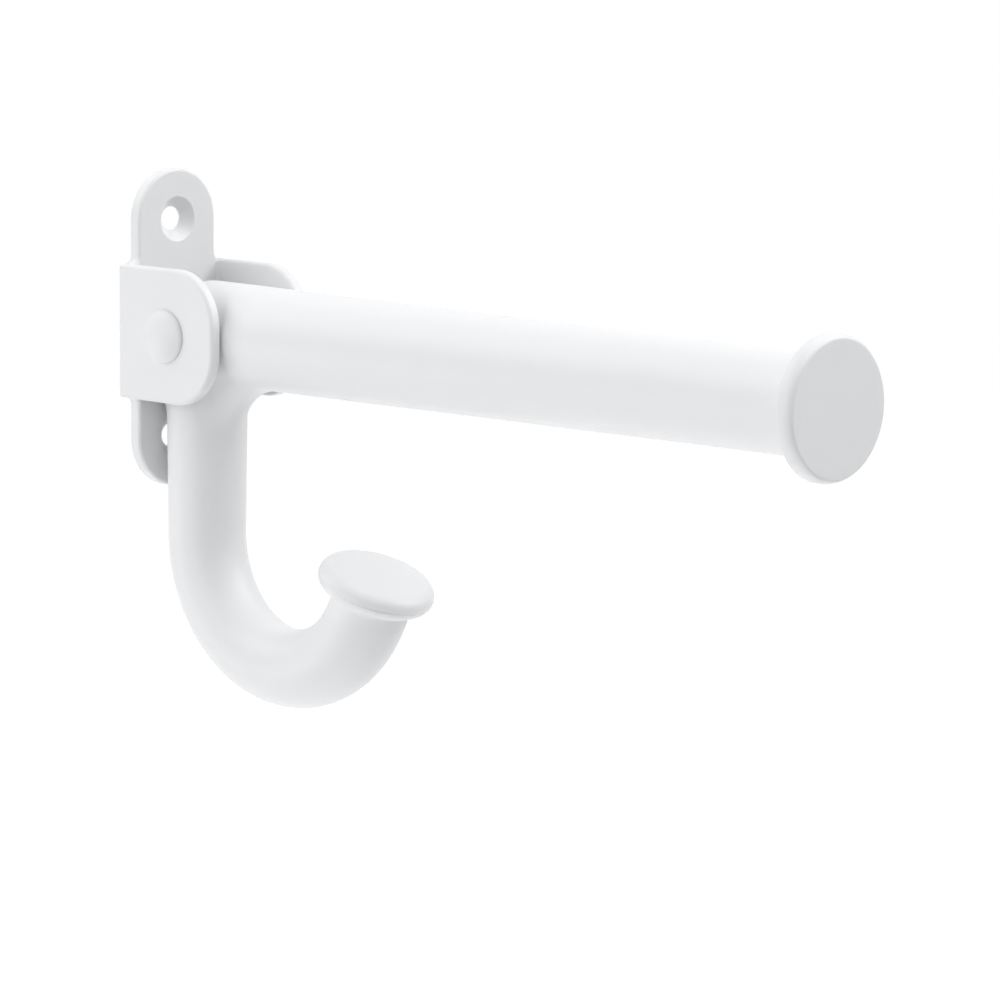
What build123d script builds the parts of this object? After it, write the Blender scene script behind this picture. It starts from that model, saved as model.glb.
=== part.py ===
from build123d import *
import math
import os

# Extendable wall hook: a bracket with two cheeks, and a cast arm and J-hook that swing between them.
# Frame: origin at the centre of the bracket's back face, midway between the two screw holes.
# +X right when facing the wall, +Y into the wall, +Z up. Everything stands in front of the wall, at Y < 0.
# Sizes are in millimetres.

# Bracket
WALL = 2.3                  # thickness of the plate and cheeks
BRACKET_WIDTH = 23.9        # across the outsides of the cheeks
CHEEK_HEIGHT = 24.4
CHEEK_DEPTH = 25.1          # wall to the cheeks' front edges
CHEEK_CORNER_R = 10.0
TAB_WIDTH = 18.5            # both tabs end in a full half-round
HOLE_SPACING = 40.0         # each hole is concentric with its tab's round end
SCREW_HOLE_D = 4.4
COUNTERSINK_D = 8.3         # rim of the 90 degree countersink
TAB_ROOT_FILLET = 1.5       # where a tab's side runs into the cheek's edge
INNER_CORNER_FILLET = 0.4   # between the plate and a cheek, inside the channel
SOFT_EDGE = 0.4             # flat that stands for the edges' 0.7 rounding
SINK_OVERRUN = 0.5          # countersink's cone carried on past the plate's face

# Pivot
PIVOT_TO_WALL = 12.4
RIVET_D = 6.0
RIVET_PLAY = 0.05           # radial running clearance of the rivet in its bores
HEAD_D = 9.7
HEAD_RIM = 0.4              # straight side under the dome
HEAD_DOME = 1.75            # height of the dome above that side
HEAD_CROWN_D = 2.4          # flat struck on top of the dome
DOME_BANDS = 2              # conical bands that make up the dome

# Arm, along -Y from the pivot
ARM_ROOT_D = 18.8
ARM_TIP_D = 16.6
ARM_REACH = 145.6           # pivot to the middle of the end disc
END_DISC_D = 23.6
END_DISC_THICKNESS = 3.2    # its rim is a full round, cut as three equal flats that touch it
END_DISC_FLARE = 1.2        # neck's 45 degree flare into the disc's back

# Knuckle, between the cheeks
BOSS_D = 14.0               # flat bosses that bear on the cheeks' inner faces
BOSS_PLAY = 0.1             # gap between each boss and its cheek
HEEL_WIDTH = 12.0           # the stop: it meets the plate when the arm is level
HEEL_TOP = 3.0              # below the pivot
HEEL_BOTTOM = 11.0          # below the pivot
HEEL_GAP = 0.1

# Hook, under the pivot
SHANK_SETBACK = 1.85        # shank axis behind the pivot, towards the wall
SHANK_TOP_D = 15.0
SHANK_LOW_D = 14.3
SHANK_DROP = 36.8           # pivot height to the start of the bend
BEND_R = 22.4               # centre line
BEND_ANGLE = 158.5
TAIL_LENGTH = 4.1           # end of the bend to the middle of the tip disc
TIP_DISC_D = 21.1
TIP_DISC_THICKNESS = 4.1
TIP_DISC_FLARE = 1.05
ARM_SHANK_FILLET = 12.0
CROSSING_SPARE = 4.0        # straight arm left behind the blend before the knuckle is cut round

HALF_WIDTH = BRACKET_WIDTH / 2
INNER_HALF = HALF_WIDTH - WALL
PIVOT = Pos(0, -PIVOT_TO_WALL, 0)
X_AXIS_PLANE = Plane(origin=(0, 0, 0), x_dir=(0, 1, 0), z_dir=(1, 0, 0))   # sketch x is +Y, sketch y is +Z


def plate_and_tabs():
    """Wall plate between the cheeks, with a round-ended tab above and below; front edges are broken."""
    with BuildPart() as part:
        with BuildSketch(Plane.XZ) as outline:
            Rectangle(BRACKET_WIDTH, CHEEK_HEIGHT)
            SlotCenterToCenter(HOLE_SPACING, TAB_WIDTH, rotation=90)
            roots = [v for v in outline.vertices()
                     if abs(abs(v.Y) - CHEEK_HEIGHT / 2) < 0.01 and abs(abs(v.X) - TAB_WIDTH / 2) < 0.01]
            fillet(roots, TAB_ROOT_FILLET)
        extrude(amount=WALL)
        front_face = part.faces().sort_by(Axis.Y)[0]
        chamfer(front_face.edges(), SOFT_EDGE)
    return part.part


def cheek(side):
    """One cheek: a plate in the Y-Z plane with rounded front corners, its edges broken except at the wall."""
    outer = side * HALF_WIDTH
    with BuildPart() as part:
        with BuildSketch(X_AXIS_PLANE.offset(outer)) as outline:
            with Locations((-CHEEK_DEPTH / 2, 0)):
                Rectangle(CHEEK_DEPTH, CHEEK_HEIGHT)
            front_corners = outline.vertices().sort_by(Axis.X)[:2]
            fillet(front_corners, CHEEK_CORNER_R)
        extrude(amount=-side * WALL)
        faces = part.faces().sort_by(Axis.X)
        for face in (faces[0], faces[-1]):
            chamfer(face.edges().sort_by(Axis.Y)[:-1], SOFT_EDGE)
    return part.part


def inner_corner(side):
    """Concave fillet along the channel's inside corner."""
    r = INNER_CORNER_FILLET
    x = side * INNER_HALF
    bow = r * (1 - math.sqrt(0.5))
    with BuildPart() as part:
        with BuildSketch(Plane.XY.offset(-CHEEK_HEIGHT / 2 + SOFT_EDGE)):
            with BuildLine():
                Polyline((x - side * r, -WALL), (x, -WALL), (x, -WALL - r))
                ThreePointArc((x, -WALL - r), (x - side * bow, -WALL - bow), (x - side * r, -WALL))
            make_face()
        extrude(amount=CHEEK_HEIGHT - 2 * SOFT_EDGE)
    return part.part


def screw_hole(z):
    """Countersunk through hole, opening towards the room."""
    sink_depth = (COUNTERSINK_D - SCREW_HOLE_D) / 2
    sink_length = sink_depth + SINK_OVERRUN
    drill = Cylinder(SCREW_HOLE_D / 2, 2 * BRACKET_WIDTH, rotation=(90, 0, 0))
    sink = Cone(SCREW_HOLE_D / 2, COUNTERSINK_D / 2 + SINK_OVERRUN, sink_length, rotation=(90, 0, 0))
    sink_middle = -WALL + sink_depth - sink_length / 2
    return Pos(0, 0, z) * (drill + Pos(0, sink_middle, 0) * sink)


def wall_bracket():
    body = plate_and_tabs()
    for side in (-1, 1):
        body = body + cheek(side) + inner_corner(side)
    body = body - PIVOT * Cylinder(RIVET_D / 2 + RIVET_PLAY, 2 * BRACKET_WIDTH, rotation=(0, 90, 0))
    for z in (-HOLE_SPACING / 2, HOLE_SPACING / 2):
        body = body - screw_hole(z)
    return body


def dome_profile(seat):
    """Corners of the dome's conical bands, on one arc from rim to crown, for a head seated at X = seat."""
    sphere_r = ((HEAD_D / 2) ** 2 + HEAD_DOME ** 2) / (2 * HEAD_DOME)
    centre = seat + HEAD_RIM + HEAD_DOME - sphere_r
    at_rim = math.asin(HEAD_D / 2 / sphere_r)
    at_crown = math.asin(HEAD_CROWN_D / 2 / sphere_r)
    angles = [at_rim + (at_crown - at_rim) * i / DOME_BANDS for i in range(DOME_BANDS + 1)]
    return [(centre + sphere_r * math.cos(a), sphere_r * math.sin(a)) for a in angles]


def pivot_rivet():
    """Shaft with the same low dome at both ends, turned about the pivot axis."""
    r = RIVET_D / 2
    right = [(HALF_WIDTH, r), (HALF_WIDTH, HEAD_D / 2)] + dome_profile(HALF_WIDTH)
    right = right + [(right[-1][0], 0)]
    left = [(-x, y) for x, y in reversed(right)]
    with BuildPart() as part:
        with BuildSketch(Plane.XY):
            with BuildLine():
                Polyline(*left, *right, close=True)
            make_face()
        revolve(axis=Axis.X)
    return PIVOT * part.part


def stem_and_disc(start_r, start, neck_r, disc_d, thickness, flare, middle):
    """Round stem flaring into a round-edged disc, turned about Z and running down from the origin."""
    disc_r = disc_d / 2
    under = middle - thickness / 2
    over = middle + thickness / 2
    half_flat = thickness / 2 * math.tan(math.pi / 8)
    face_r = disc_r - thickness / 2 + half_flat
    with BuildPart() as part:
        with BuildSketch(Plane.XZ):
            with BuildLine():
                Polyline((0, -over), (0, -start), (start_r, -start), (neck_r, -(under - flare)),
                         (neck_r + flare, -under), (face_r, -under), (disc_r, -(middle - half_flat)),
                         (disc_r, -(middle + half_flat)), (face_r, -over), close=True)
            make_face()
        revolve(axis=Axis.Z)
    return part.part


def arm_and_shank():
    """Arm crossed by the shank's top, with one smooth fillet all round where they meet."""
    overrun = SHANK_SETBACK + SHANK_TOP_D / 2 + ARM_SHANK_FILLET + CROSSING_SPARE
    slope = (ARM_ROOT_D - ARM_TIP_D) / 2 / ARM_REACH
    arm = Rot(X=-90) * stem_and_disc(ARM_ROOT_D / 2 + slope * overrun, -overrun, ARM_TIP_D / 2,
                                     END_DISC_D, END_DISC_THICKNESS, END_DISC_FLARE, ARM_REACH)
    shank = Pos(0, SHANK_SETBACK, -SHANK_DROP / 2) * Cone(SHANK_LOW_D / 2, SHANK_TOP_D / 2, SHANK_DROP)
    body = arm + shank
    seam = [e for e in body.edges() if e.geom_type not in (GeomType.CIRCLE, GeomType.LINE)]
    return fillet(seam, ARM_SHANK_FILLET)


def knuckle_envelope():
    """Everything in front of the pivot, and behind it a ball above an upright cylinder."""
    r = ARM_ROOT_D / 2
    far = 2 * ARM_REACH
    front = Pos(0, -far / 2, 0) * Box(far, far, far)
    return front + Sphere(r) + Pos(0, 0, -far / 4) * Cylinder(r, far / 2)


def bend():
    """Round bar turned through the hook's angle, from the shank's foot outwards and up."""
    centre_y = SHANK_SETBACK - BEND_R
    with BuildPart() as part:
        with BuildSketch(Plane(origin=(0, SHANK_SETBACK, -SHANK_DROP), z_dir=(0, 0, -1))):
            Circle(SHANK_LOW_D / 2)
        revolve(axis=Axis((0, centre_y, -SHANK_DROP), (-1, 0, 0)), revolution_arc=BEND_ANGLE)
    return part.part


def tip():
    """Short straight tail and the tilted disc that ends the hook."""
    r = SHANK_LOW_D / 2
    tail = stem_and_disc(r, 0, r, TIP_DISC_D, TIP_DISC_THICKNESS, TIP_DISC_FLARE, TAIL_LENGTH)
    centre = Pos(0, SHANK_SETBACK - BEND_R, -SHANK_DROP)
    return centre * Rot(X=-BEND_ANGLE) * Pos(0, BEND_R, 0) * tail


def heel():
    """Squared stop at the knuckle's back."""
    reach = PIVOT_TO_WALL - WALL - HEEL_GAP
    height = HEEL_BOTTOM - HEEL_TOP
    return Pos(0, reach / 2, -(HEEL_TOP + HEEL_BOTTOM) / 2) * Box(HEEL_WIDTH, reach, height)


def arm_and_hook():
    body = arm_and_shank() & knuckle_envelope()
    body = body + bend() + tip() + heel()
    body = body + Cylinder(BOSS_D / 2, 2 * (INNER_HALF - BOSS_PLAY), rotation=(0, 90, 0))
    body = body - Cylinder(RIVET_D / 2 + RIVET_PLAY, 2 * BRACKET_WIDTH, rotation=(0, 90, 0))
    return PIVOT * body


if __name__ == "__main__":
    os.makedirs("parts", exist_ok=True)
    export_step(wall_bracket(), "parts/wall_bracket.step")
    export_step(pivot_rivet(), "parts/pivot_rivet.step")
    export_step(arm_and_hook(), "parts/arm_and_hook.step")
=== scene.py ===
"""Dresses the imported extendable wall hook: smooth coated pieces, white powder coat, studio and camera."""
import math

import bmesh
import bpy
import numpy as np
from mathutils import Matrix, Vector


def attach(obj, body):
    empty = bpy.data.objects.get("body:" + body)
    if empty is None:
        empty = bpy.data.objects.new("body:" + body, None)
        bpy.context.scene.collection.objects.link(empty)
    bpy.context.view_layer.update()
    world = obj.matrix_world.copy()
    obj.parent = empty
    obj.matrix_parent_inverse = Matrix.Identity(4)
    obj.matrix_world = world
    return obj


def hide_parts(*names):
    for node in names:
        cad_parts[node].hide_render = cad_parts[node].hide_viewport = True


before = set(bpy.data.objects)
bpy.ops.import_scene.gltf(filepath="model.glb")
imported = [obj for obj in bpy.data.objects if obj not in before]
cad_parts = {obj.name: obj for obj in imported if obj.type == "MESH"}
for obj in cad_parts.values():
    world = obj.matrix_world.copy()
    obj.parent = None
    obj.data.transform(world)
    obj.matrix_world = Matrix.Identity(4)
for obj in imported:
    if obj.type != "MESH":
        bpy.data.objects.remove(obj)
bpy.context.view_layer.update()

MM = 0.001

# Sizes in millimetres: the CAD's, apart from roundings and discs, which lie nearer the photograph here.
# Frame: +X right facing the wall, +Y into the wall, +Z up.
PIVOT = np.array([0.0, -12.4, 0.0])
WALL = 2.3
BRACKET_WIDTH = 23.9
CHEEK_HEIGHT = 24.4
CHEEK_DEPTH = 25.1
CHEEK_CORNER_R = 10.0
TAB_WIDTH = 18.5
TAB_ROOT_R = 1.5
HOLE_SPACING = 40.0
SCREW_HOLE_D = 4.4
COUNTERSINK_D = 8.3
PLATE_EDGE_R = 0.65
CHEEK_EDGE_R = 0.7
INNER_CORNER_R = 0.6
RIVET_D = 6.0
HEAD_D = 9.7
HEAD_HEIGHT = 2.05
HEAD_BALL_R = 8.5
HEAD_SHOULDER_R = 0.8
ARM_ROOT_R = 9.4
ARM_NECK_R = 8.3
ARM_REACH = 145.35
END_DISC_R = 12.0
END_DISC_THICKNESS = 3.1
END_DISC_BACK_R = 0.6
END_DISC_FRONT = (2.0, 1.0)
END_DISC_FILLET = 1.8
SHANK_SETBACK = 1.85
SHANK_TOP_R = 7.5
SHANK_LOW_R = 7.13
SHANK_DROP = 36.8
BEND_R = 22.4
BEND_ANGLE = math.radians(158.5)
TAIL_LENGTH = 4.1
TIP_DISC_R = 10.55
TIP_DISC_THICKNESS = 4.1
TIP_DISC_BACK_R = 2.05
TIP_DISC_FRONT = (2.05, 2.05)
TIP_DISC_FILLET = 1.6
BLEND_R = 12.0
BOSS_R = 7.0
BOSS_HALF = 9.55
BOSS_EDGE_R = 0.4
HEEL_CENTRE = (0.0, 5.0, -7.0)
HEEL_HALF = (6.0, 5.0, 4.0)
HEEL_EDGE_R = 0.8

# Where one surface sinks into the metal of another, or stops just short of it, in millimetres.
BLEND_RUN_ON = 0.5
BLEND_LIP = 0.04
BLEND_SUNK = 1.5
BLEND_CORE_Z = -2.0
BLEND_CORE_R = 2.0
HEAD_LIP = (0.02, 0.08)
HEAD_SEAT_INSET = 0.2
PLATE_END_GAP = 0.05
PLATE_END_DROP = 1.0
TAB_ROUND_GAP = 0.01
CHEEK_BACK_GAP = 0.02
STRIP_OVERLAP = 0.3
STRIP_LIP = 0.03
STRIP_SUNK = 0.4
CUTTER_BEHIND = 1.0
CUTTER_BEFORE = 0.6

# Which edges of the bracket are rounded, and how.
MERGE_DISTANCE = 0.005
SHARP_ANGLE = math.radians(25)
ROUNDING_SEGMENTS = 8
FLAT_FACE_WEIGHT = 90
FRONT_FACE_SLACK = 0.01
SINK_CLEARANCE = 1.0
BACK_EDGE_BAND = 1.0

ARM_COLUMNS = 160
HOOK_COLUMNS = 128
BLEND_COLUMNS = 192
ROUND_COLUMNS = 96

# Powder coat: colours as linear light, lengths in millimetres.
WHITE = (0.797, 0.806, 0.822)
THIN_COAT_TINT = (0.975, 0.970, 0.958)
SHADE_PATCH = 14
GRAIN = 0.34
SPECK = 0.03
ROUGHNESS = 0.34
ROUGHNESS_GRAIN = 0.09
ROUGHNESS_PEEL = 0.05
PEEL_SHARE = 0.75
BUMP_STRENGTH = 0.35
BUMP_DEPTH = 0.018
COAT_IOR = 1.47
SEED_STEP = (1.0, 0.7, 1.3)

# Studio: lengths in metres.
FLOOR_Z = -0.55
FLOOR_HALF = 6.0
FLOOR_GREY = 0.9
FLOOR_GLOW = 0.68
SURROUND_LEVEL = 0.37
BACKDROP_LEVEL = 1.0
LAMP_AIM = (0, -0.06, -0.02)
SOFT_BOXES = (
    # name, place in metres, side in metres, power in watts
    ("upper_left_rear", (-0.68, 0.68, 0.80), 0.8, 4.2),
    ("upper_rear", (0.0, 0.96, 0.80), 0.8, 1.4),
    ("upper_right", (0.53, 0.0, 1.13), 0.8, 0.7),
    ("upper_front", (0.0, -0.53, 1.13), 0.8, 4.4),
    ("front_right", (0.68, -0.68, 0.80), 0.8, 8.4),
    ("left", (-1.23, 0.0, 0.22), 0.8, 4.2),
    ("low_left_rear", (-0.84, 0.84, -0.39), 0.8, 2.7),
    ("below", (0.0, -0.08, -0.5), 0.5, 0.3),
)

# Camera, fitted to the outlines in the photograph: degrees, and metres from the pivot.
CAMERA_ANGLES = (-45.8266, 8.5173, 0.6673)
CAMERA_DISTANCE = 0.72547
CAMERA_ACROSS = 0.052038
CAMERA_RISE = -0.0305685
SENSOR_WIDTH = 36.0
LENS_PER_SENSOR = 3.98459


# Surfaces

def sheet_faces(rows, columns, start, rows_closed=False):
    """Quads of a grid whose columns close on themselves, and its rows too where rows_closed."""
    last = rows if rows_closed else rows - 1
    i, j = np.meshgrid(np.arange(last), np.arange(columns), indexing="ij")
    i2 = (i + 1) % rows
    j2 = (j + 1) % columns
    quads = np.stack([i * columns + j, i2 * columns + j, i2 * columns + j2, i * columns + j2], axis=-1)
    return (quads.reshape(-1, 4) + start).tolist()


def cap_faces(row_start, columns, pole, flip):
    """Triangles from one closed row of points to a pole."""
    j = np.arange(columns)
    j2 = (j + 1) % columns
    a, b = (j2, j) if flip else (j, j2)
    return np.stack([a + row_start, b + row_start, np.full(columns, pole)], axis=-1).tolist()


def make_piece(name, surfaces):
    """One mesh object in metres from closed surfaces, each (grid of points in mm, kind).

    Kind "poles" closes the first and last row with a point at their middle, and kind "ring" joins the last
    row to the first."""
    points, faces, start = [], [], 0
    for grid, kind in surfaces:
        rows, columns, _ = grid.shape
        points.append(grid.reshape(-1, 3))
        faces += sheet_faces(rows, columns, start, kind == "ring")
        size = rows * columns
        if kind == "poles":
            points.append(grid[0].mean(0)[None])
            points.append(grid[-1].mean(0)[None])
            faces += cap_faces(start, columns, start + size, False)
            faces += cap_faces(start + size - columns, columns, start + size + 1, True)
            size += 2
        start += size
    return finish_mesh(name, (np.concatenate(points) * MM).tolist(), faces)


def finish_mesh(name, points, faces):
    """Puts points in metres into a smooth-shaded object with its faces turned outwards."""
    mesh = bpy.data.meshes.new(name)
    mesh.from_pydata(points, [], faces)
    work = bmesh.new()
    work.from_mesh(mesh)
    bmesh.ops.recalc_face_normals(work, faces=work.faces)
    work.to_mesh(mesh)
    work.free()
    mesh.polygons.foreach_set("use_smooth", np.ones(len(mesh.polygons), bool))
    piece = bpy.data.objects.new(name, mesh)
    bpy.context.scene.collection.objects.link(piece)
    return piece


def arc(centre, radius, start, end, count):
    """Points on a circle in a profile plane, from start to end degrees: centre + radius * (cos a, sin a)."""
    a = np.radians(np.linspace(start, end, count))
    return np.stack([centre[0] + radius * np.cos(a), centre[1] + radius * np.sin(a)], axis=-1)


def run(start, end, count):
    """Evenly spaced points on a straight line in a profile plane, both ends left out."""
    t = np.linspace(0, 1, count + 2)[1:-1, None]
    return np.array(start) * (1 - t) + np.array(end) * t


def turned(profile, columns, axis):
    """Surface of revolution: profile rows are (distance along the axis, radius), turned about X or Y."""
    a = np.linspace(0, 2 * np.pi, columns, endpoint=False)
    along, r = profile[:, :1], profile[:, 1:]
    flat = np.repeat(along, columns, axis=1)
    if axis == "X":
        return np.stack([flat, r * np.cos(a), r * np.sin(a)], axis=-1)
    return np.stack([r * np.sin(a), flat, r * np.cos(a)], axis=-1)


# Arm and hook

def disc_profile(neck_r, fillet_r, disc_r, thickness, back_r, front, middle):
    """Neck fillet, disc back, rim and face, as (distance, radius), with the disc's middle at that distance.

    The rim is a circle's quarter of back_r, then the quarter of an ellipse whose halves are front =
    (along the axis, along the radius)."""
    under, over = middle - thickness / 2, middle + thickness / 2
    depth, height = front
    fillet = arc((under - fillet_r, neck_r + fillet_r), fillet_r, -90, 0, 12)
    back_edge = arc((under + back_r, disc_r - back_r), back_r, 180, 90, 13)
    front_edge = np.array([over - depth, disc_r - height]) + arc((0, 0), 1, 90, 0, 21) * front
    face = run((over, disc_r - height), (over, 0), 9)
    return np.concatenate([fillet, back_edge, front_edge, face])


def arm_surface():
    """Arm about Y: r falls in a straight line from the pivot to the neck, then the end disc's profile."""
    disc = disc_profile(ARM_NECK_R, END_DISC_FILLET, END_DISC_R, END_DISC_THICKNESS, END_DISC_BACK_R,
                        END_DISC_FRONT, ARM_REACH)
    neck = disc[0, 0]
    d = np.linspace(0, neck, 90)[:-1]
    taper = np.stack([d, ARM_ROOT_R + (ARM_NECK_R - ARM_ROOT_R) * d / neck], axis=-1)
    profile = np.concatenate([taper, disc])
    profile[:, 0] = -profile[:, 0]
    return np.concatenate([knuckle_back(ARM_COLUMNS), turned(profile, ARM_COLUMNS, "Y")])


def knuckle_back(columns):
    """Back of the knuckle: a ball above the pivot; below it, the arm's round crossed with an upright round.

    Each direction from the pivot, from near the pole down to near the arm's first ring, is carried out to
    whichever of those it meets first."""
    lift = np.radians(np.linspace(88, 3, 22))[:, None]
    a = np.linspace(0, 2 * np.pi, columns, endpoint=False)
    d = np.stack([np.sin(a) * np.cos(lift), np.sin(lift) + 0 * a, np.cos(a) * np.cos(lift)], axis=-1)
    reach = np.maximum(np.hypot(d[..., 0], d[..., 2]), np.hypot(d[..., 0], d[..., 1]))
    reach = np.where(d[..., 2] < 0, reach, 1.0)
    return ARM_ROOT_R * d / reach[..., None]


def hook_path(s):
    """Hook's centre line in the Y-Z plane at distance s below the pivot, and the way out from the bend.

    Shank, bend and tail are all the bend's centre + BEND_R * away + ahead * the distance before or after the
    bend, where away = (cos turn, -sin turn) and turn is the angle that s has gone round the bend."""
    bend_length = BEND_R * BEND_ANGLE
    turn = np.clip((s - SHANK_DROP) / BEND_R, 0, BEND_ANGLE)
    before = np.minimum(s - SHANK_DROP, 0)
    after = np.maximum(s - SHANK_DROP - bend_length, 0)
    away_y, away_z = np.cos(turn), -np.sin(turn)
    ahead_y, ahead_z = -np.sin(turn), -np.cos(turn)
    y = SHANK_SETBACK - BEND_R + BEND_R * away_y + (before + after) * ahead_y
    z = -SHANK_DROP + BEND_R * away_z + (before + after) * ahead_z
    return y, z, away_y, away_z


def carried(profile, columns):
    """Profile (distance, radius) carried along the hook's path: centre + r * (sin a * X + cos a * away)."""
    a = np.linspace(0, 2 * np.pi, columns, endpoint=False)
    y, z, away_y, away_z = (v[:, None] for v in hook_path(profile[:, 0]))
    r = profile[:, 1:]
    return np.stack([r * np.sin(a), y + r * np.cos(a) * away_y, z + r * np.cos(a) * away_z], axis=-1)


def hook_surface():
    """Shank tapering to the bend, the bend, the tail and the tip disc."""
    bend_end = SHANK_DROP + BEND_R * BEND_ANGLE
    disc = disc_profile(SHANK_LOW_R, TIP_DISC_FILLET, TIP_DISC_R, TIP_DISC_THICKNESS, TIP_DISC_BACK_R,
                        TIP_DISC_FRONT, bend_end + TAIL_LENGTH)
    shank = np.linspace(0, SHANK_DROP, 24)[:-1]
    shank = np.stack([shank, SHANK_TOP_R + (SHANK_LOW_R - SHANK_TOP_R) * shank / SHANK_DROP], axis=-1)
    bend = np.linspace(SHANK_DROP, bend_end, 110)
    bend = np.stack([bend, np.full_like(bend, SHANK_LOW_R)], axis=-1)
    return carried(np.concatenate([shank, bend, disc]), HOOK_COLUMNS)


def within_knuckle(points):
    """Behind the pivot, draws points in to the upright round that the knuckle is cut to."""
    across = np.hypot(points[..., 0], points[..., 1])
    shrink = np.where(points[..., 1] > 0, np.minimum(1, ARM_ROOT_R / np.maximum(across, 1e-9)), 1)
    drawn = points.copy()
    drawn[..., 0] *= shrink
    drawn[..., 1] *= shrink
    return drawn


def blend_surface():
    """Fillet between shank and arm, as a ball of radius BLEND_R rolled round the crossing leaves it.

    For each bearing round the shank the ball's centre stands BLEND_R off both rounds, and the surface is the
    ball's arc between the two points where it touches them: with w the angle between them,
    (sin((1 - t) w) * to_shank + sin(t w) * to_arm) / sin w. It closes through the inside of the metal.
    Both rounds taper, so the ball's place takes a few passes to settle."""
    a = np.linspace(0, 2 * np.pi, BLEND_COLUMNS, endpoint=False)
    out = np.stack([np.sin(a), np.cos(a), 0 * a], axis=-1)
    shank_r, arm_r = np.full_like(a, SHANK_TOP_R), np.full_like(a, ARM_ROOT_R)
    for _ in range(4):
        stand = shank_r + BLEND_R
        x, y = stand * out[:, 0], SHANK_SETBACK + stand * out[:, 1]
        z = -np.sqrt((arm_r + BLEND_R) ** 2 - x ** 2)
        shank_r = SHANK_TOP_R + (SHANK_TOP_R - SHANK_LOW_R) * z / SHANK_DROP
        arm_r = ARM_ROOT_R + (ARM_ROOT_R - ARM_NECK_R) * y / ARM_REACH
    centre = np.stack([x, y, z], axis=-1)
    to_shank = -out
    to_arm = -np.stack([x, 0 * y, z], axis=-1) / np.hypot(x, z)[:, None]
    between = np.arccos(np.clip((to_shank * to_arm).sum(-1), -1, 1))[None, :, None]
    t = np.linspace(0, 1, 40)[:, None, None]
    reach = (np.sin((1 - t) * between) * to_shank + np.sin(t * between) * to_arm) / np.sin(between)
    cosine, sine = np.cos(between[0]), np.sin(between[0])
    down_shank = (to_shank * cosine - to_arm) / sine
    along_arm = (to_arm * cosine - to_shank) / sine
    skin = centre + BLEND_R * reach
    shank_end = skin[0] + BLEND_RUN_ON * down_shank
    arm_end = skin[-1] + BLEND_RUN_ON * along_arm
    core = np.array([0, SHANK_SETBACK, BLEND_CORE_Z]) + BLEND_CORE_R * out
    into_shank = [shank_end + depth * to_shank for depth in (BLEND_SUNK, BLEND_LIP)]
    into_arm = [arm_end + depth * to_arm for depth in (BLEND_LIP, BLEND_SUNK)]
    return within_knuckle(np.stack([*into_shank, *skin, *into_arm, core]))


def boss_surface():
    """Flat bosses either side of the knuckle: one round bar across it with softened rims."""
    inner = BOSS_HALF - BOSS_EDGE_R
    flat = BOSS_R - BOSS_EDGE_R
    face = run((-BOSS_HALF, 1), (-BOSS_HALF, flat), 5)
    left = np.concatenate([face, arc((-inner, flat), BOSS_EDGE_R, 180, 90, 8)])
    right = left[::-1] * np.array([-1, 1])
    return turned(np.concatenate([left, right]), ROUND_COLUMNS, "X")


def heel_surface():
    """Squared stop at the knuckle's back: direction d goes to the box corner it faces plus a rounding of d.

    The bearings start at 3 degrees, so that none lies between two corners, where the sign would be 0."""
    lift = np.radians(np.linspace(-87, 87, 30))[:, None]
    a = np.radians(np.linspace(0, 360, 60, endpoint=False) + 3)
    d = np.stack([np.cos(lift) * np.cos(a), np.cos(lift) * np.sin(a), np.sin(lift) + 0 * a], axis=-1)
    inner = np.array(HEEL_HALF) - HEEL_EDGE_R
    return np.array(HEEL_CENTRE) + np.sign(d) * inner + HEEL_EDGE_R * d


def arm_and_hook():
    surfaces = [(arm_surface(), "poles"), (hook_surface(), "poles"), (blend_surface(), "ring"),
                (boss_surface(), "poles"), (heel_surface(), "poles")]
    placed = [(grid + PIVOT, kind) for grid, kind in surfaces]
    return make_piece("arm_and_hook_coated", placed)


# Rivet

def rivet():
    """Rivet about X: heads seated on the cheeks' outsides, and the shaft between.

    Each head is a large ball's top that runs over into a round shoulder where the two circles touch, at
    touch = asin(shoulder_r / between) from the axis, between being the difference of their radii."""
    seat = BRACKET_WIDTH / 2
    head_r = HEAD_D / 2
    shoulder_r = head_r - HEAD_SHOULDER_R
    between = HEAD_BALL_R - HEAD_SHOULDER_R
    ball_x = seat + HEAD_HEIGHT - HEAD_BALL_R
    touch = math.degrees(math.asin(shoulder_r / between))
    dome = arc((ball_x, 0), HEAD_BALL_R, 1, touch, 26)
    shoulder_x = ball_x + math.sqrt(between ** 2 - shoulder_r ** 2)
    shoulder = arc((shoulder_x, shoulder_r), HEAD_SHOULDER_R, touch, 90, 12)[1:]
    lift, inset = HEAD_LIP
    under = np.array([[seat + lift, head_r - inset], [seat, head_r - HEAD_SEAT_INSET], [seat, RIVET_D / 2]])
    right = np.concatenate([dome, shoulder, under])
    left = right[::-1] * np.array([-1, 1])
    shaft = run(right[-1], left[0], 6)
    grid = turned(np.concatenate([right, shaft, left]), ROUND_COLUMNS, "X")
    return make_piece("pivot_rivet_coated", [(grid + PIVOT, "poles")])


# Bracket

def slab(name, outline, low, high, axis):
    """Closed prism: the flat outline's points (p, q) at two heights along the axis."""
    count = len(outline)
    p, q = outline[:, 0], outline[:, 1]
    layers = []
    for height in (low, high):
        flat = np.full(count, height)
        layers.append(np.stack([flat, p, q] if axis == "X" else [p, flat, q], axis=-1))
    i = np.arange(count)
    j = (i + 1) % count
    sides = np.stack([i, j, j + count, i + count], axis=-1).tolist()
    ends = [i[::-1].tolist(), (i + count).tolist()]
    return finish_mesh(name, (np.concatenate(layers) * MM).tolist(), sides + ends)


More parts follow.
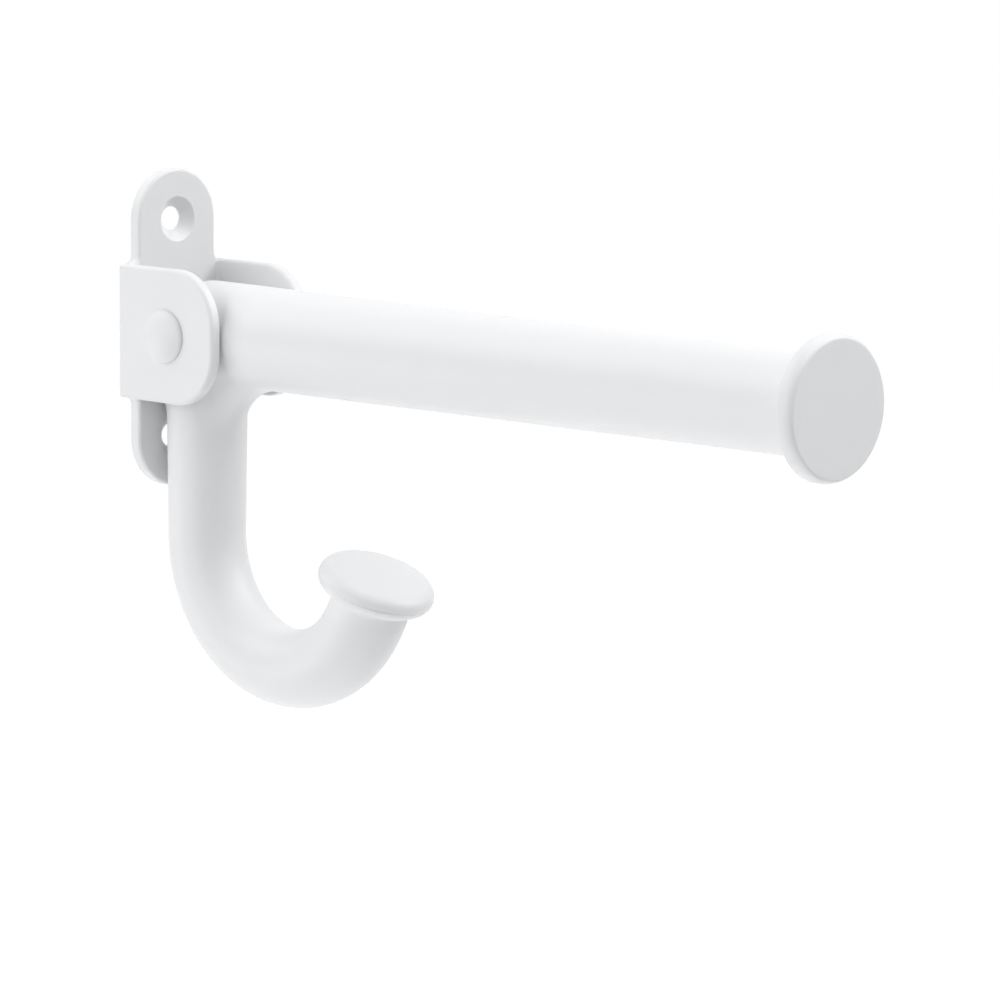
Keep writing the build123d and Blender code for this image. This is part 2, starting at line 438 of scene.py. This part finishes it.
def plate_outline():
    """Plate with a full-round tab above and below and small fillets at the tabs' roots.

    Its ends lie in the cheeks, just short of their outsides and a little below their tops."""
    edge, top, tab = BRACKET_WIDTH / 2 - PLATE_END_GAP, CHEEK_HEIGHT / 2, TAB_WIDTH / 2
    root = arc((tab + TAB_ROOT_R, top + TAB_ROOT_R), TAB_ROOT_R, 270, 180, 10)
    tab_round = arc((0, HOLE_SPACING / 2), tab - TAB_ROUND_GAP, 0, 90, 37)
    right = np.concatenate([[[edge, top - PLATE_END_DROP]], root, tab_round])
    left = right[::-1][1:] * np.array([-1, 1])
    upper = np.concatenate([right, left])
    return np.concatenate([upper, -upper])


def cheek_outline():
    """Cheek seen from the side: square and just short of the wall, rounded corners in front."""
    top, r, back = CHEEK_HEIGHT / 2, CHEEK_CORNER_R, -CHEEK_BACK_GAP
    front_top = arc((-CHEEK_DEPTH + r, top - r), r, 90, 180, 41)
    front_low = arc((-CHEEK_DEPTH + r, -top + r), r, 180, 270, 41)
    return np.concatenate([[[back, top]], front_top, front_low, [[back, -top]]])


def inner_corner_surface(side):
    """Concave round along the channel's inside corner, its two edges sunk a little, carried up Z.

    At each end it draws back as the faces beside it do: by r * (1 - cos a) where it rises by r * sin a."""
    r, x = INNER_CORNER_R, side * (BRACKET_WIDTH / 2 - WALL)
    far = r + STRIP_OVERLAP
    cheek_edge = [[-STRIP_SUNK, far], [-STRIP_LIP, far]]
    plate_edge = [[far, -STRIP_LIP], [far, -STRIP_SUNK]]
    inside = [[-STRIP_SUNK, -STRIP_SUNK]]
    loop = np.concatenate([cheek_edge, arc((r, r), r, 180, 270, 9), plate_edge, inside])
    a = np.radians(np.linspace(5, 75, 8))
    straight = CHEEK_HEIGHT / 2 - CHEEK_EDGE_R
    rise = straight + CHEEK_EDGE_R * np.sin(a)
    back = CHEEK_EDGE_R * (1 - np.cos(a))
    z = np.concatenate([-rise[::-1], np.linspace(-straight, straight, 8), rise])[:, None]
    back = np.concatenate([back[::-1], np.zeros(8), back])[:, None]
    p, q = loop[:, 0] - back, loop[:, 1] - back
    return np.stack([x - side * p, -WALL - q, z + 0 * p], axis=-1)


def countersink(z):
    """Cutter for one screw hole: straight bore, then a 90 degree cone that opens past the plate's front."""
    depth = (COUNTERSINK_D - SCREW_HOLE_D) / 2
    bore, rim = SCREW_HOLE_D / 2, COUNTERSINK_D / 2
    mouth = [-WALL - CUTTER_BEFORE, rim + CUTTER_BEFORE]
    profile = np.array([[CUTTER_BEHIND, bore], [-WALL + depth, bore], [-WALL, rim], mouth])
    return make_piece("cutter", [(turned(profile, ROUND_COLUMNS, "Y") + np.array([0, 0, z]), "poles")])


def bake(piece):
    """Makes a piece's modifiers part of its mesh."""
    bpy.context.view_layer.update()
    mesh = bpy.data.meshes.new_from_object(piece.evaluated_get(bpy.context.evaluated_depsgraph_get()))
    piece.modifiers.clear()
    piece.data = mesh


def soften(piece, radius, chosen):
    """Rounds the sharp edges whose two ends pass the test, and shades by the large flat faces."""
    work = bmesh.new()
    work.from_mesh(piece.data)
    bmesh.ops.remove_doubles(work, verts=work.verts, dist=MERGE_DISTANCE * MM)
    weight = work.edges.layers.float.new("bevel_weight_edge")
    for edge in work.edges:
        sharp = len(edge.link_faces) == 2 and edge.calc_face_angle() > SHARP_ANGLE
        rounded = sharp and chosen(edge.verts[0].co / MM, edge.verts[1].co / MM)
        edge[weight] = float(rounded)
        edge.smooth = rounded or not sharp
    work.to_mesh(piece.data)
    work.free()
    rounding = piece.modifiers.new("round", "BEVEL")
    rounding.width = radius * MM
    rounding.segments = ROUNDING_SEGMENTS
    rounding.limit_method = "WEIGHT"
    rounding.use_clamp_overlap = False
    shading = piece.modifiers.new("shade", "WEIGHTED_NORMAL")
    shading.weight = FLAT_FACE_WEIGHT
    shading.keep_sharp = True
    bake(piece)


def in_front_outline(p, q):
    """Whether an edge from p to q lies on the plate's front, outside the countersinks."""
    sink_reach = COUNTERSINK_D / 2 + SINK_CLEARANCE
    outside = [math.hypot(v.x, abs(v.z) - HOLE_SPACING / 2) > sink_reach for v in (p, q)]
    return max(p.y, q.y) < -WALL + FRONT_FACE_SLACK and all(outside)


def off_the_wall(p, q):
    """Whether an edge from p to q comes forward of the cheek's back edges."""
    return min(p.y, q.y) < -BACK_EDGE_BAND


def wall_bracket():
    """Countersunk plate with its tabs and a cheek at each side, room-side edges softened by the coat."""
    outer = BRACKET_WIDTH / 2
    plate = slab("wall_bracket_coated", plate_outline(), -WALL, 0, "Y")
    for z in (-HOLE_SPACING / 2, HOLE_SPACING / 2):
        cutter = countersink(z)
        cut = plate.modifiers.new("cut", "BOOLEAN")
        cut.operation = "DIFFERENCE"
        cut.solver = "EXACT"
        cut.object = cutter
        bake(plate)
        bpy.data.objects.remove(cutter)
    soften(plate, PLATE_EDGE_R, in_front_outline)
    cheeks = [slab("cheek", cheek_outline(), side * outer, side * (outer - WALL), "X") for side in (-1, 1)]
    for cheek in cheeks:
        soften(cheek, CHEEK_EDGE_R, off_the_wall)
    corners = make_piece("corners", [(inner_corner_surface(side), "poles") for side in (-1, 1)])
    return gathered(plate, cheeks + [corners])


def gathered(first, others):
    """Adds the others' meshes to the first piece's mesh."""
    with bpy.context.temp_override(active_object=first, selected_editable_objects=[first] + others):
        bpy.ops.object.join()
    return first


# Finish

class Value:
    """A shader socket that takes part in sums, so that grain * 0.03 + 0.97 adds its own Math nodes."""

    def __init__(self, tree, socket):
        self.tree = tree
        self.socket = socket

    def math(self, operation, first, second):
        node = self.tree.nodes.new("ShaderNodeMath")
        node.operation = operation
        for slot, value in zip(node.inputs, (first, second)):
            feed(self.tree, slot, value)
        return Value(self.tree, node.outputs[0])

    def __add__(self, other):
        return self.math("ADD", self, other)

    def __mul__(self, other):
        return self.math("MULTIPLY", self, other)

    __radd__ = __add__
    __rmul__ = __mul__


def feed(tree, slot, value):
    """Links a Value to a socket, or sets a plain number or colour on it."""
    if isinstance(value, Value):
        tree.links.new(value.socket, slot)
    else:
        slot.default_value = value


class Finish:
    """The node tree of one material or of the world."""

    def __init__(self, tree):
        self.tree = tree
        tree.nodes.clear()

    def node(self, kind, settings=None, output=0, **sockets):
        """Adds a node: its settings, then values or links by socket name (spaces as _, numbers as in_0)."""
        node = self.tree.nodes.new("ShaderNode" + kind)
        for name, value in (settings or {}).items():
            setattr(node, name, value)
        for name, value in sockets.items():
            key = int(name[3:]) if name.startswith("in_") else name.replace("_", " ")
            feed(self.tree, node.inputs[key], value)
        return Value(self.tree, node.outputs[output]) if node.outputs else node


def powder_coat(name, peel_mm, seed):
    """White powder coat: a shade warmer where thin, orange peel of peel_mm, fine grain in its gloss."""
    material = bpy.data.materials.new(name)
    material.use_nodes = True
    f = Finish(material.node_tree)
    place = f.node("TexCoord", output="Object")
    place = f.node("Mapping", Vector=place, Location=tuple(seed * step for step in SEED_STEP))
    thickness = f.node("TexNoise", Vector=place, Scale=1 / (SHADE_PATCH * MM), Detail=3.0, Roughness=0.55)
    peel = f.node("TexNoise", Vector=place, Scale=1 / (peel_mm * MM), Detail=2.0, Roughness=0.4)
    grain = f.node("TexNoise", Vector=place, Scale=1 / (GRAIN * MM), Detail=3.0, Roughness=0.6)
    thick = WHITE + (1.0,)
    thin = tuple(c * s for c, s in zip(WHITE, THIN_COAT_TINT)) + (1.0,)
    colour = f.node("Mix", {"data_type": "RGBA"}, output=2, in_0=thickness, in_6=thick, in_7=thin)
    speck = grain * SPECK + (1 - SPECK)
    colour = f.node("Mix", {"data_type": "RGBA", "blend_type": "MULTIPLY"}, output=2, in_0=1.0, in_6=colour,
                    in_7=f.node("CombineColor", Red=speck, Green=speck, Blue=speck))
    gloss = ROUGHNESS + ROUGHNESS_GRAIN * grain + ROUGHNESS_PEEL * peel
    height = peel * PEEL_SHARE + grain * (1 - PEEL_SHARE)
    bump = f.node("Bump", Height=height, Strength=BUMP_STRENGTH, Distance=BUMP_DEPTH * MM)
    shader = f.node("BsdfPrincipled", Base_Color=colour, Roughness=gloss, Normal=bump, IOR=COAT_IOR)
    f.node("OutputMaterial", Surface=shader)
    return material


def dress(piece, material, body, node):
    piece.data.materials.clear()
    piece.data.materials.append(material)
    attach(piece, body)
    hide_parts(node)


# Studio

def seen_ray(f):
    """1 for rays that show the backdrop: the camera's own, and those that mirror it or pass through."""
    seen = f.node("LightPath", output="Is Camera Ray")
    for kind in ("Is Glossy Ray", "Is Transmission Ray"):
        seen = seen + f.node("LightPath", output=kind)
    return seen


def studio():
    """Pale floor, soft boxes all round, even white surroundings."""
    world = bpy.data.worlds.new("studio")
    bpy.context.scene.world = world
    world.use_nodes = True
    f = Finish(world.node_tree)
    surround = f.node("Background", Color=(1, 1, 1, 1), Strength=SURROUND_LEVEL)
    backdrop = f.node("Background", Color=(1, 1, 1, 1), Strength=BACKDROP_LEVEL)
    f.node("OutputWorld", Surface=f.node("MixShader", in_0=seen_ray(f), in_1=surround, in_2=backdrop))

    corners = [(x * FLOOR_HALF, y * FLOOR_HALF, FLOOR_Z) for x, y in ((-1, -1), (1, -1), (1, 1), (-1, 1))]
    floor = finish_mesh("floor", corners, [(0, 1, 2, 3)])
    material = bpy.data.materials.new("pale_floor")
    material.use_nodes = True
    f = Finish(material.node_tree)
    matt = f.node("BsdfDiffuse", Color=(FLOOR_GREY, FLOOR_GREY, FLOOR_GREY, 1))
    lit = f.node("Emission", Color=(1, 1, 1, 1), Strength=seen_ray(f) * FLOOR_GLOW)
    f.node("OutputMaterial", Surface=f.node("AddShader", in_0=matt, in_1=lit))
    floor.data.materials.append(material)

    for name, place, size, power in SOFT_BOXES:
        soft_box(name, place, size, power)


def soft_box(name, place, size, power):
    lamp = bpy.data.lights.new(name, "AREA")
    lamp.shape = "SQUARE"
    lamp.size = size
    lamp.energy = power
    box = bpy.data.objects.new(name, lamp)
    aim = Vector(LAMP_AIM) - Vector(place)
    box.matrix_world = Matrix.Translation(place) @ aim.to_track_quat("-Z", "Y").to_matrix().to_4x4()
    box.visible_camera = False
    bpy.context.scene.collection.objects.link(box)


def camera():
    """Long lens from front left and a little above, as the photograph was taken."""
    azimuth, elevation, roll = (math.radians(v) for v in CAMERA_ANGLES)
    back = Vector((math.sin(azimuth) * math.cos(elevation), -math.cos(azimuth) * math.cos(elevation),
                   math.sin(elevation)))
    level = Vector((math.cos(azimuth), math.sin(azimuth), 0))
    upright = back.cross(level)
    right = level * math.cos(roll) + upright * math.sin(roll)
    up = upright * math.cos(roll) - level * math.sin(roll)
    place = Vector(PIVOT * MM) + right * CAMERA_ACROSS + up * CAMERA_RISE + back * CAMERA_DISTANCE
    lens = bpy.data.cameras.new("camera")
    lens.sensor_fit = "HORIZONTAL"
    lens.sensor_width = SENSOR_WIDTH
    lens.lens = SENSOR_WIDTH * LENS_PER_SENSOR
    lens.clip_start = 0.01
    lens.clip_end = 50.0
    stand = bpy.data.objects.new("camera", lens)
    turn = Matrix((right, up, back)).transposed().to_4x4()
    stand.matrix_world = Matrix.Translation(place) @ turn
    bpy.context.scene.collection.objects.link(stand)
    bpy.context.scene.camera = stand


camera()
studio()
dress(wall_bracket(), powder_coat("bracket_white_powder_coat", 1.3, 0.0), "bracket", "wall_bracket")
dress(rivet(), powder_coat("rivet_white_powder_coat", 1.0, 0.31), "bracket", "pivot_rivet")
dress(arm_and_hook(), powder_coat("arm_white_powder_coat", 1.7, 0.57), "arm", "arm_and_hook")

bpy.context.scene.view_settings.view_transform = "Standard"
